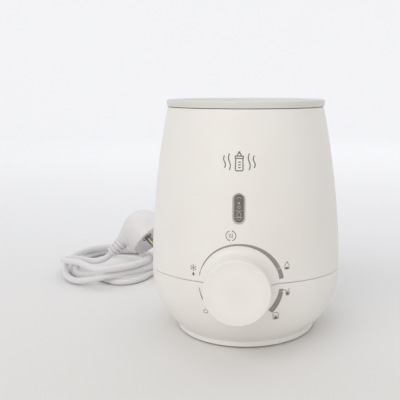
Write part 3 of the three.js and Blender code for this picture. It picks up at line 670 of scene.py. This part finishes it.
# ---- Rim, well and heating plate -----------------------------------------------------------------
def rim_profile():
    """A band round the top, rounded over at its outer edge and rolled in towards the well."""
    under = RIM_LOW[2] + 0.04
    inside = WELL_R + 0.2
    return rounded(
        [(inside, under + 1.4), (RIM_SKIRT_R, under + 1.4), (RIM_SKIRT_R, under), (RIM_R - 0.9, under),
         (RIM_R - 0.25, under + 0.1), (RIM_R, HEIGHT - 0.7), (RIM_R - 0.7, HEIGHT), (WELL_R + 2.4, HEIGHT),
         (inside, HEIGHT - 1.8), (inside, under + 1.4)],
        [0, 0.1, 0.1, 0.1, 0.3, 0.5, 0.5, 1.2, 1.0, 0])


def well_profile():
    """A tube with a flange out over the housing's top and a ledge in over the plate."""
    low, flange, ledge_r, thick = WELL_FLOOR + 0.3, HOUSING_TOP + 0.3, WELL_R - 3, 1.5
    return rounded(
        [(ledge_r, low), (WELL_OUTSIDE_R, low), (WELL_OUTSIDE_R, flange), (FLANGE_R, flange),
         (FLANGE_R, flange + thick), (WELL_R, flange + thick), (WELL_R, low + thick), (ledge_r, low + thick),
         (ledge_r, low)],
        [0, 0.4, 0.3, 0.2, 0.3, 0.5, 2.6, 0.5, 0])


def plate_profile():
    """A disc with a flange below and one ring turned in its face."""
    under, flange = WELL_FLOOR - 2.5, WELL_FLOOR - 1
    return rounded(
        [(0.01, under), (PLATE_R, under), (PLATE_R, flange), (PLATE_FACE_R, flange),
         (PLATE_FACE_R, WELL_FLOOR), (PLATE_RING_R + 0.6, WELL_FLOOR), (PLATE_RING_R, WELL_FLOOR - 0.25),
         (PLATE_RING_R - 0.6, WELL_FLOOR), (12, WELL_FLOOR), (0.01, WELL_FLOOR)],
        [0, 0.3, 0.3, 0.3, 0.35, 0.3, 0.3, 0.3, 0, 0])


make("rim", *lathe(rim_profile(), 224), RIM, "rim_plastic", replaces=["rim_ring"])
make("well", *lathe(well_profile(), 192), WELL, "well_plastic", replaces=["water_well"])
make("hot_plate", *lathe(plate_profile(), 160), PLATE, "aluminium", replaces=["heating_plate"])

# ---- Indicator window ----------------------------------------------------------------------------
bezel_out = WINDOW_R - 0.1
bezel_in = bezel_out - BEZEL_W
bezel_rows = [(bezel_out, -2.6), (bezel_out, -0.1), (bezel_out - 0.05, -0.03), (bezel_out - 0.16, -0.02),
              (bezel_out - 0.24, -0.08), (bezel_in + 0.14, -0.72), (bezel_in + 0.05, -0.84),
              (bezel_in, -0.95), (bezel_in, -1.8)]
make("window_bezel", *grid(slot_rows(bezel_rows), wrap=True), BEZEL, "bezel", replaces=["indicator_bezel"])
lens_r = bezel_in - 0.06
lens_rows = [(lens_r, -1.9), (lens_r, -1.05), (lens_r - 0.06, -0.97), (lens_r - 0.16, -0.93)]
lens_rows += [(lens_r * t, -0.92 + 0.1 * (1 - t * t)) for t in (0.85, 0.65, 0.45, 0.25, 0.0)]
make("window_lens", *grid(slot_rows(lens_rows), wrap=True), LENS, "lens", replaces=["indicator_lens"])


# ---- Printed marks -------------------------------------------------------------------------------
def ribbon(points, width, lift=PRINT_LIFT, surface=front_y):
    """A printed line of a width, or one width per point, laid on the front surface."""
    p = np.asarray(points, float)
    w = np.full(len(p), width, float) if np.isscalar(width) else np.asarray(width, float)
    length = np.concatenate([[0], np.cumsum(np.linalg.norm(np.diff(p, axis=0), axis=1))])
    even = np.linspace(0, length[-1], max(3, int(length[-1] / 0.35)))
    wanted = np.unique(np.concatenate([even, length]))
    x, z = np.interp(wanted, length, p[:, 0]), np.interp(wanted, length, p[:, 1])
    w = np.interp(wanted, length, w)
    path = np.stack([x, z], -1)
    flow = np.gradient(path, axis=0)
    flow /= np.linalg.norm(flow, axis=1)[:, None] + 1e-12
    side = np.stack([-flow[:, 1], flow[:, 0]], -1)
    rows = []
    for s in np.linspace(-0.5, 0.5, 5):
        q = path + side * (s * w)[:, None]
        rows.append(np.stack([q[:, 0], surface(q[:, 0], q[:, 1]) - lift, q[:, 1]], -1))
    return grid(np.array(rows))


def blob(centre, rx, rz, lift=PRINT_LIFT, surface=front_y, point=0.0):
    """A filled printed oval, drawn to a point at the top if point is above zero."""
    angle = np.arange(28) * TAU / 28
    rows = []
    for t in (1.0, 0.66, 0.33, 0.001):
        x = centre[0] + rx * t * np.cos(angle) * (1 - point * np.clip(np.sin(angle), 0, 1))
        z = centre[1] + rz * t * np.sin(angle)
        rows.append(np.stack([x, surface(x, z) - lift, z], -1))
    return grid(np.array(rows), wrap=True)


def dial(degrees, radius):
    """A place on the dial, degrees clockwise from the top."""
    a = math.radians(degrees)
    return np.array([radius * math.sin(a), KNOB_Z + radius * math.cos(a)])


def arc_width(degrees):
    """Width of the dial's arc: thin on the cold side, swelling towards the hot end."""
    return np.interp(degrees, [-120, -95, -72, -50, -30, -12, 0, 15, 35, 55, 80, 135],
                     [1.0, 0.75, 0.7, 0.75, 0.9, 1.05, 1.15, 1.45, 1.95, 2.4, 2.85, 3.2])


def dial_arc(start, end):
    """A stretch of the dial's arc, which grows outwards from its inner edge."""
    turn = np.linspace(start, end, max(4, int(abs(end - start) / 1.5)))
    width = arc_width(turn)
    return ribbon([dial(t, DIAL_R + w / 2) for t, w in zip(turn, width)], width)


def dial_tick(degrees, reach, width=LINE):
    return ribbon([dial(degrees, DIAL_R - 0.1), dial(degrees, DIAL_R + reach)], width)


upper_arcs = [dial_arc(a, b) for a, b in ((-80, -76.6), (-75.5, -10.5), (-9.1, 67.7), (69.2, 83))]
lower_arcs = [dial_arc(a, b) for a, b in ((-116, -98), (97.4, 100.3), (101.4, 132.7))]
upper_arcs += [dial_tick(-76.1, 1.0, THIN_LINE), dial_tick(-9.9, 1.5), dial_tick(68.6, 2.4)]
lower_arcs += [dial_tick(100.8, 2.3)]
make("dial_scale_upper", *merged(upper_arcs), INK, "shell_plastic")
make("dial_scale_lower", *merged(lower_arcs), INK, "shell_plastic")


def arc(centre, radius, start, end, count=40):
    """Points on a circle, from start to end degrees clockwise from the top."""
    turn = np.radians(np.linspace(start, end, count))
    return [(centre[0] + radius * math.sin(t), centre[1] + radius * math.cos(t)) for t in turn]


def lines(centre, shapes, width=FINE_LINE):
    """Ribbons for several polylines given round a centre."""
    return [ribbon([(centre[0] + x, centre[1] + z) for x, z in shape], width) for shape in shapes]


def off_icon(c):
    """A broken circle with a stroke at the top."""
    return lines(c, [arc((0, 0), 1.25, 35, 325), [(0, 0.5), (0, 1.7)]], LINE)


def defrost_icon(c):
    """A snowflake over a drop."""
    middle, reach, fork = np.array([0.0, 1.6]), 2.0, 0.65
    shapes, forks = [], []
    for k in range(6):
        a = math.radians(60 * k + 30)
        arm = np.array([math.cos(a), math.sin(a)]) * reach
        shapes.append([middle, middle + arm])
        for spread in (-0.7, 0.7):
            tip = np.array([math.cos(a + spread), math.sin(a + spread)]) * fork
            forks.append([middle + arm * 0.6, middle + arm * 0.6 + tip])
    drop = blob((c[0], c[1] - 2.0), 0.8, 1.1, point=0.85)
    return lines(c, shapes, THIN_LINE) + lines(c, forks, 0.24) + [drop]


def keep_warm_icon(c):
    """Three waves of heat inside two turning arrows."""
    parts = lines(c, [arc((0, 0), 2.85, 14, 166), arc((0, 0), 2.85, 194, 346)], 0.42)
    for x in (-0.95, 0.0, 0.95):
        wave = [(x + 0.12 * math.sin(t * TAU), -1.25 + 2.5 * t) for t in np.linspace(0, 1, 14)]
        parts += lines(c, [wave])
    for way in (-1, 1):
        head = [(way * 0.45, way * 2.2), (way * 1.05, way * 2.62), (way * 0.55, way * 3.2)]
        parts += lines(c, [head], 0.34)
    return parts


def bottle_icon(c):
    outline = [(-1.15, -2.0), (-1.2, 0.2), (-0.75, 1.0), (-0.7, 1.3), (-0.35, 1.6), (0, 2.5), (0.35, 1.6),
               (0.7, 1.3), (0.75, 1.0), (1.2, 0.2), (1.15, -2.0), (-1.15, -2.0)]
    return lines(c, [outline]) + [blob((c[0], c[1] - 1.35), 0.95, 0.55)]


def jar_icon(c):
    cup = [(-1.1, 0.5), (-0.8, -1.8), (0.8, -1.8), (1.1, 0.5), (-1.1, 0.5)]
    spoon = [(-1.9, 2.0), (-0.5, 0.6)]
    steam = [(0.3, 1.0), (0.5, 1.6), (1.4, 1.9)]
    return lines(c, [cup, spoon, steam]) + [blob((c[0], c[1] - 0.7), 0.75, 0.85)]


def pot_icon(c):
    lid = arc((0, 0.3), 1.85, -80, 80, 16)
    body = [(-1.7, 0.0), (-1.35, -2.6), (1.35, -2.6), (1.7, 0.0)]
    rim = [(-1.9, 0.2), (1.9, 0.2)]
    return lines(c, [lid, body, rim]) + [blob((c[0], c[1] - 1.5), 1.15, 0.95)]


upper_icons = [
    *defrost_icon(dial(-76.5, 27.8)),
    *keep_warm_icon(dial(-8.8, 29.2)),
    *bottle_icon(dial(69.4, 29.4)),
]
lower_icons = [
    *off_icon(dial(-132.0, 26.6)),
    *jar_icon(dial(101.3, 28.6)),
    *pot_icon(dial(132.9, 29.1)),
]
make("icons_upper", *merged(upper_icons), INK_DARK, "shell_plastic")
make("icons_lower", *merged(lower_icons), INK_DARK, "shell_plastic")


def lens_y(x, z):
    """The lens's surface, as a distance along Y."""
    return LENS_DEPTH - np.sqrt(shell_r(z) ** 2 - x ** 2)


def lens_line(shape):
    return ribbon([(x, WINDOW_Z + z) for x, z in shape], THIN_LINE, LENS_PRINT_LIFT, lens_y)


lens_bottle = [(-1.05, -4.6), (-1.15, -2.9), (-0.5, -2.2), (0.0, -1.5), (0.5, -2.2), (1.15, -2.9),
               (1.05, -4.6), (-1.05, -4.6)]
lens_shapes = [
    [(-2.0, -1.15), (2.0, -1.15)],
    [(-2.1, -5.0), (2.1, -5.0)],
    lens_bottle,
    arc((0, 5.1), 1.5, -75, 75, 14),
    arc((0, 0.9), 0.75, 0, 360, 18),
    arc((0, -5.0), 1.5, 110, 250, 14),
]
lens_dot = blob((0.0, WINDOW_Z + 3.2), 0.38, 0.38, LENS_PRINT_LIFT, lens_y)
make("window_marks", *merged([lens_line(shape) for shape in lens_shapes]), LENS_MARK, "lens")
make("window_dot", *lens_dot, LENS_DOT, "lens")

# A plain feeding-bottle pictogram with rising heat, in place of any lettering.
def rising_heat(x, half):
    """One wavy line, half its height either side of the bottle's middle."""
    return [(x + 0.55 * math.sin(t * TAU), -0.6 + half * (2 * t - 1)) for t in np.linspace(0, 1, 20)]


sign_bottle = [(-2.0, 1.3), (-2.2, -5.0), (-1.7, -5.6), (1.7, -5.6), (2.2, -5.0), (2.0, 1.3)]
sign_collar = [(-2.3, 1.3), (2.3, 1.3), (2.3, 2.6), (-2.3, 2.6), (-2.3, 1.3)]
sign_teat = [(-1.1, 2.7), (-0.9, 3.6), (-0.35, 4.1), (-0.3, 4.9), (0.3, 4.9), (0.35, 4.1), (0.9, 3.6),
             (1.1, 2.7)]
sign_shapes = [sign_bottle, sign_collar, sign_teat]
sign_shapes += [[(-0.6, z), (0.9, z)] for z in (-0.8, -2.3, -3.8)]
sign_shapes += [rising_heat(x, half) for x, half in ((-8.4, 3.4), (-5.6, 4.6), (5.6, 4.6), (8.4, 3.4))]
make("front_pictogram", *merged(lines((0.0, SIGN_Z), sign_shapes, SIGN_LINE)), INK_DARK, "shell_plastic")

# ---- Knob ----------------------------------------------------------------------------------------
def knob_profile():
    """A shallow cap, open at the back, with enough rows down its side to carry the groove."""
    outline = rounded(
        [(KNOB_R - KNOB_WALL, KNOB_BACK + 5), (KNOB_R - KNOB_WALL, KNOB_BACK),
         (KNOB_R - KNOB_TAPER, KNOB_BACK), (KNOB_R, KNOB_FACE - 1), (KNOB_R - 0.15, KNOB_FACE),
         (12, KNOB_FACE - 0.02), (0.01, KNOB_FACE - 0.05)],
        [0, 0.3, 0.35, 0.2, 0.95, 0, 0], 7)
    back_lip = outline[outline[:, 1] < KNOB_BACK + 0.7][:LIP_ROWS]
    side = [(KNOB_R - KNOB_TAPER * (KNOB_FACE - z) / (KNOB_FACE - KNOB_BACK), z)
            for z in np.linspace(KNOB_BACK + 0.8, KNOB_FACE - 1.4, 12)]
    face = outline[outline[:, 1] > KNOB_FACE - 1.3]
    return np.vstack([back_lip, side, face])


def knob_groove(angle, z):
    """A short index groove down the knob's side, at the pointer."""
    gap = (angle - math.pi / 2 + POINTER + math.pi) % TAU - math.pi
    across = np.exp(-((gap * KNOB_R / GROOVE_HALF) ** 4))
    from_back = 1 / (1 + np.exp(-(z - KNOB_BACK - 1.6) * 5))
    to_face = 1 / (1 + np.exp((z - KNOB_FACE + 1.5) * 5))
    return -GROOVE_DEPTH * across * from_back * to_face * (z > KNOB_BACK + 0.5)


knob_cap = lathe(knob_profile(), 400, knob_groove)
facing_front = turned(knob_cap, (0, 0, KNOB_Z), (1, 0, 0), (0, 0, 1), (0, -1, 0))
make("knob", *facing_front, KNOB, "knob_plastic", body="knob", replaces=["control_knob"])

# ---- Cord ----------------------------------------------------------------------------------------
def cord_points():
    """The cord's centre line: out at the back, three loose turns, each on the last, then the plug."""
    out = float(shell_r(OUTLET_Z))
    low = CORD_R + 0.3
    leaving = [(0, 34, OUTLET_Z), (0, out, OUTLET_Z), (0, out + 10, OUTLET_Z), (0, out + 20, OUTLET_Z),
               (-5, 89, 11), (-17, 100, 5.5)]
    on_the_floor = [
        (-36, 108), (-58, 110), (-76, 103), (-86, 90), (-91, 76), (-99, 67), (-109, 65), (-118, 70),
        (-128, 76), (-139, 78), (-149, 84), (-156, 99), (-159, 119), (-155, 139), (-145, 151), (-131, 156),
        (-116, 155), (-101, 148)]
    second_turn = [
        (-90, 134, 3.5), (-84, 116, 6), (-84, 98, 8.8), (-91, 82, 9), (-102, 70, 9), (-115, 62, 8.8),
        (-128, 60, 6), (-142, 64, 3.4), (-154, 75, 3.6), (-161, 91, 5.2), (-164, 107, 8), (-160, 126, 9),
        (-153, 139, 9), (-142, 147, 9), (-128, 148, 9), (-114, 141, 9), (-103, 127, 9)]
    third_turn = [
        (-95, 112, 10), (-90, 99, 13), (-89, 87, 15.2), (-94, 75, 15.3), (-103, 66, 15.2), (-114, 60, 15),
        (-124, 59, 15.2), (-133, 64, 16), (-142, 71, 16.6), (-151, 76.5, 15.8), (-158.5, 83, 14.6),
        (-161, 91, 13), (-157.5, 99, 11.5), (-150, 103, 9.5), (-143, 105, 7.6), (-136.5, 106, 7.6)]
    into_plug = [tuple(PLUG_START + PLUG_AXIS * reach) for reach in (-5, 0, 5)]
    return leaving + [(x, y, low) for x, y in on_the_floor] + second_turn + third_turn + into_plug


make("cord", *hose(spline(cord_points(), CORD_STEP), CORD_R), CORD, "cord_sheath", replaces=["power_cord"])


# ---- Plug ----------------------------------------------------------------------------------------
def in_plug(part):
    """An upright lathe part set on the cord's end, along the plug's axis."""
    return turned(part, PLUG_START, PINS_WAY, PLUG_ACROSS, PLUG_AXIS)


def on_disc(part, shift=0.0):
    """An upright lathe part turned to point out of the plug's face, shifted across it."""
    middle = PLUG_START + PLUG_AXIS * DISC_AT + PLUG_ACROSS * shift
    return turned(part, middle, -PLUG_AXIS, PLUG_ACROSS, PINS_WAY)


def sleeve_profile():
    """A flexible sleeve of four ribs that widen towards the plug."""
    outline = [(CORD_R + 0.02, 0.6), (CORD_R + 0.8, 0.0)]
    for k in range(4):
        z = 0.8 + k * 3.4
        r = 4.6 + 0.55 * k
        outline += [(r, z), (r + 0.2, z + 2.1), (r - 1.25, z + 2.25), (r - 1.15, z + 3.25)]
    outline += [(6.8, 15.2), (6.9, SLEEVE_L + 0.4)]
    return rounded(outline, 0.22, 3)


def dome_pull(angle, z):
    """Draws the back of the disc out towards the cord, so that the two run into each other."""
    towards = np.clip(np.cos(angle), 0, 1) ** 6
    back = np.clip((12.0 - z) / 16.0, 0, 1)
    return DOME_REACH * towards * back * np.clip(1 - back, 0.15, 1)


def disc_profile():
    """The plug's round body, from the middle of its domed back to the middle of its sunk face."""
    return rounded(
        [(0.01, -10.3), (8.6, -9.9), (13.4, -6.8), (16.5, -1.4), (18.1, 4.3), (DISC_R, 8.4),
         (DISC_R, DISC_FACE), (16.6, DISC_FACE), (16.2, DISC_FACE - 0.5), (0.01, DISC_FACE - 0.5)],
        [0, 4, 9, 9, 8, 1.0, 0.9, 0.2, 0.2, 0], 8)


def neck_profile():
    """The swelling between the sleeve and the disc."""
    return rounded(
        [(0.01, SLEEVE_L + 0.2), (6.7, SLEEVE_L + 0.2), (8.6, 20.0), (10.0, 25.0), (8.0, 31.0), (0.01, 34.0)],
        [0, 0.6, 4, 5, 5, 0], 6)


def pin_collar_shadow_profile():
    """A black collar sunk in the plug's face round a pin: an insulating collar, and painted shadow at its
    root.
    """
    bore, foot = PIN_R + 0.05, DISC_FACE - 2
    return rounded(
        [(bore, foot), (4.3, foot), (4.3, DISC_FACE - 0.32), (3.6, DISC_FACE - 0.3), (3.1, DISC_FACE - 1.1),
         (bore, DISC_FACE - 1.2)],
        [0, 0.2, 0.15, 0.2, 0.2, 0], 4)


def pin_profile():
    root, tip = DISC_FACE - PIN_ROOT, DISC_FACE + PIN_L
    return rounded([(0.01, root), (PIN_R, root), (PIN_R, tip), (0.01, tip)], [0, 0.2, 1.6, 0], 6)


plug_disc = on_disc(lathe(disc_profile(), 128, dome_pull))
plug_neck = in_plug(lathe(neck_profile(), 96))
make("plug_boot", *in_plug(lathe(sleeve_profile(), 72)), PLUG, "cord_sheath", replaces=["plug_sleeve"])
make("plug_shell", *merged([plug_disc, plug_neck]), PLUG, "cord_sheath", replaces=["plug_body"])
for index, shift in ((1, -PIN_SPACING / 2), (2, PIN_SPACING / 2)):
    # The black collar round each pin is partly an insulating sleeve and partly painted shadow at the pin's
    # root.
    make(f"pin_collar_shadow_{index}", *on_disc(lathe(pin_collar_shadow_profile(), 48), shift), BLACK, "black_plastic")
    make(f"pin_{index}", *on_disc(lathe(pin_profile(), 40), shift), PIN, "pin_metal",
         replaces=[f"plug_pin_{index}"])


# ---- Cord bush at the back -----------------------------------------------------------------------
def bush_profile():
    """A bush held in the wall by a flange inside it, with four ribs that narrow outwards."""
    bore = CORD_R + 0.05
    outline = [(bore, -12), (7, -12), (7, -9.5), (4.6, -9.5), (4.6, 2.6), (6.2, 3.6)]
    for k in range(4):
        z = 4.6 + k * 2.8
        r = 6.0 - 0.45 * k
        outline += [(r, z), (r, z + 1.6), (r - 0.9, z + 1.8), (r - 0.9, z + 2.7)]
    outline += [(4.1, 16.0), (bore, 16.0)]
    return rounded(outline, 0.25, 3)


outlet = (0, float(shell_r(OUTLET_Z)), OUTLET_Z)
bush = turned(lathe(bush_profile(), 64), outlet, (-1, 0, 0), (0, 0, 1), (0, 1, 0))
make("cord_boot", *bush, SILICONE, "silicone", replaces=["cord_bush"])

# ---- Pieces shown as the CAD made them -----------------------------------------------------------
replaced = {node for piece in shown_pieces() for node in piece.get("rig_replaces", [])}
slot_of = {part["node"]: part["material_slot"] for part in frame["record"]["subparts"]}
for node, piece in frame["nodes"].items():
    if node in replaced:
        continue
    look = COVER if node == "bottom_cover" else SLOT_LOOK[slot_of[node]]
    piece.data.materials.clear()
    piece.data.materials.append(look)
    bevel = piece.modifiers.new("edge", "BEVEL")
    bevel.width = 0.12 * MM
    bevel.segments = 2
    bevel.limit_method = "ANGLE"
    bevel.angle_limit = math.radians(35)


# ---- Floor, backdrop, light and camera -----------------------------------------------------------
def backdrop():
    """A seamless round sweep: flat floor, a wide curve and a low wall all round."""
    flat, bend = 1500.0, 900.0
    profile = [(r, 0.0) for r in (0.1, 200.0, 500.0, 900.0, 1200.0, flat)]
    for turn in np.linspace(0, math.pi / 2, 24)[1:]:
        profile.append((flat + bend * math.sin(turn), bend * (1 - math.cos(turn))))
    # The near colour is darker and warmer than the far one: painted shading across the backdrop.
    paper = plain_stage("backdrop paper", (235, 235, 236), (228, 225, 220))
    mesh_object("backdrop", *lathe(profile[::-1], 96), paper)


backdrop()


def area_light(name, place, target, size, watts, colour):
    """A rectangular lamp, in metres, facing its target."""
    data = bpy.data.lights.new(name, "AREA")
    data.shape = "RECTANGLE"
    data.size, data.size_y = size
    data.energy = watts
    data.color = colour
    lamp = bpy.data.objects.new(name, data)
    lamp.location = place
    lamp.rotation_mode = "QUATERNION"
    lamp.rotation_quaternion = (Vector(place) - Vector(target)).to_track_quat("Z", "Y")
    bpy.context.scene.collection.objects.link(lamp)


area_light("key", (-0.6, -1.0, 1.05), (0, 0, 0), (1.4, 1.0), 8.45, (1.0, 0.985, 0.968))
area_light("fill", (1.2, -0.8, 0.6), (0, 0, 0), (1.2, 1.0), 1.6, (1.0, 0.975, 0.94))
area_light("top", (0.3, 0.5, 1.4), (0, 0, 0), (1.6, 1.6), 2.6, (0.99, 0.99, 1.0))
area_light("low", (-0.1, -1.2, 0.12), (0, 0, -0.04), (1.4, 0.3), 0.9, (1.0, 0.99, 0.98))
area_light("wall", (0, 0.9, 1.3), (0, 2.1, 0.1), (3.0, 0.8), 15.5, (0.98, 0.985, 1.0))

world = bpy.data.worlds.new("studio")
bpy.context.scene.world = world
world.use_nodes = True
sky = next(n for n in world.node_tree.nodes if n.type == "BACKGROUND")
sky.inputs["Color"].default_value = (0.93, 0.94, 0.96, 1)
sky.inputs["Strength"].default_value = 0.6

# The camera stands a little to the right of the front, above the rim, with the warmer off-centre.
CAMERA_AZIMUTH = math.radians(3.8)
CAMERA_PITCH = math.radians(10.85)
CAMERA_DISTANCE = 2.573 * HEIGHT * MM
CAMERA_HEIGHT = 1.053 * HEIGHT * MM
CAMERA_LENS = 53.28
CAMERA_SHIFT = -0.1145
camera_data = bpy.data.cameras.new("camera")
camera_data.sensor_width = 36.0
camera_data.lens = CAMERA_LENS
camera_data.shift_x = CAMERA_SHIFT
camera = bpy.data.objects.new("camera", camera_data)
camera.location = (CAMERA_DISTANCE * math.sin(CAMERA_AZIMUTH), -CAMERA_DISTANCE * math.cos(CAMERA_AZIMUTH),
                   FLOOR + CAMERA_HEIGHT)
camera.rotation_euler = (math.pi / 2 - CAMERA_PITCH, 0, CAMERA_AZIMUTH)
bpy.context.scene.collection.objects.link(camera)
bpy.context.scene.camera = camera
bpy.context.scene.view_settings.view_transform = "Standard"
bpy.context.scene.view_settings.look = "None"
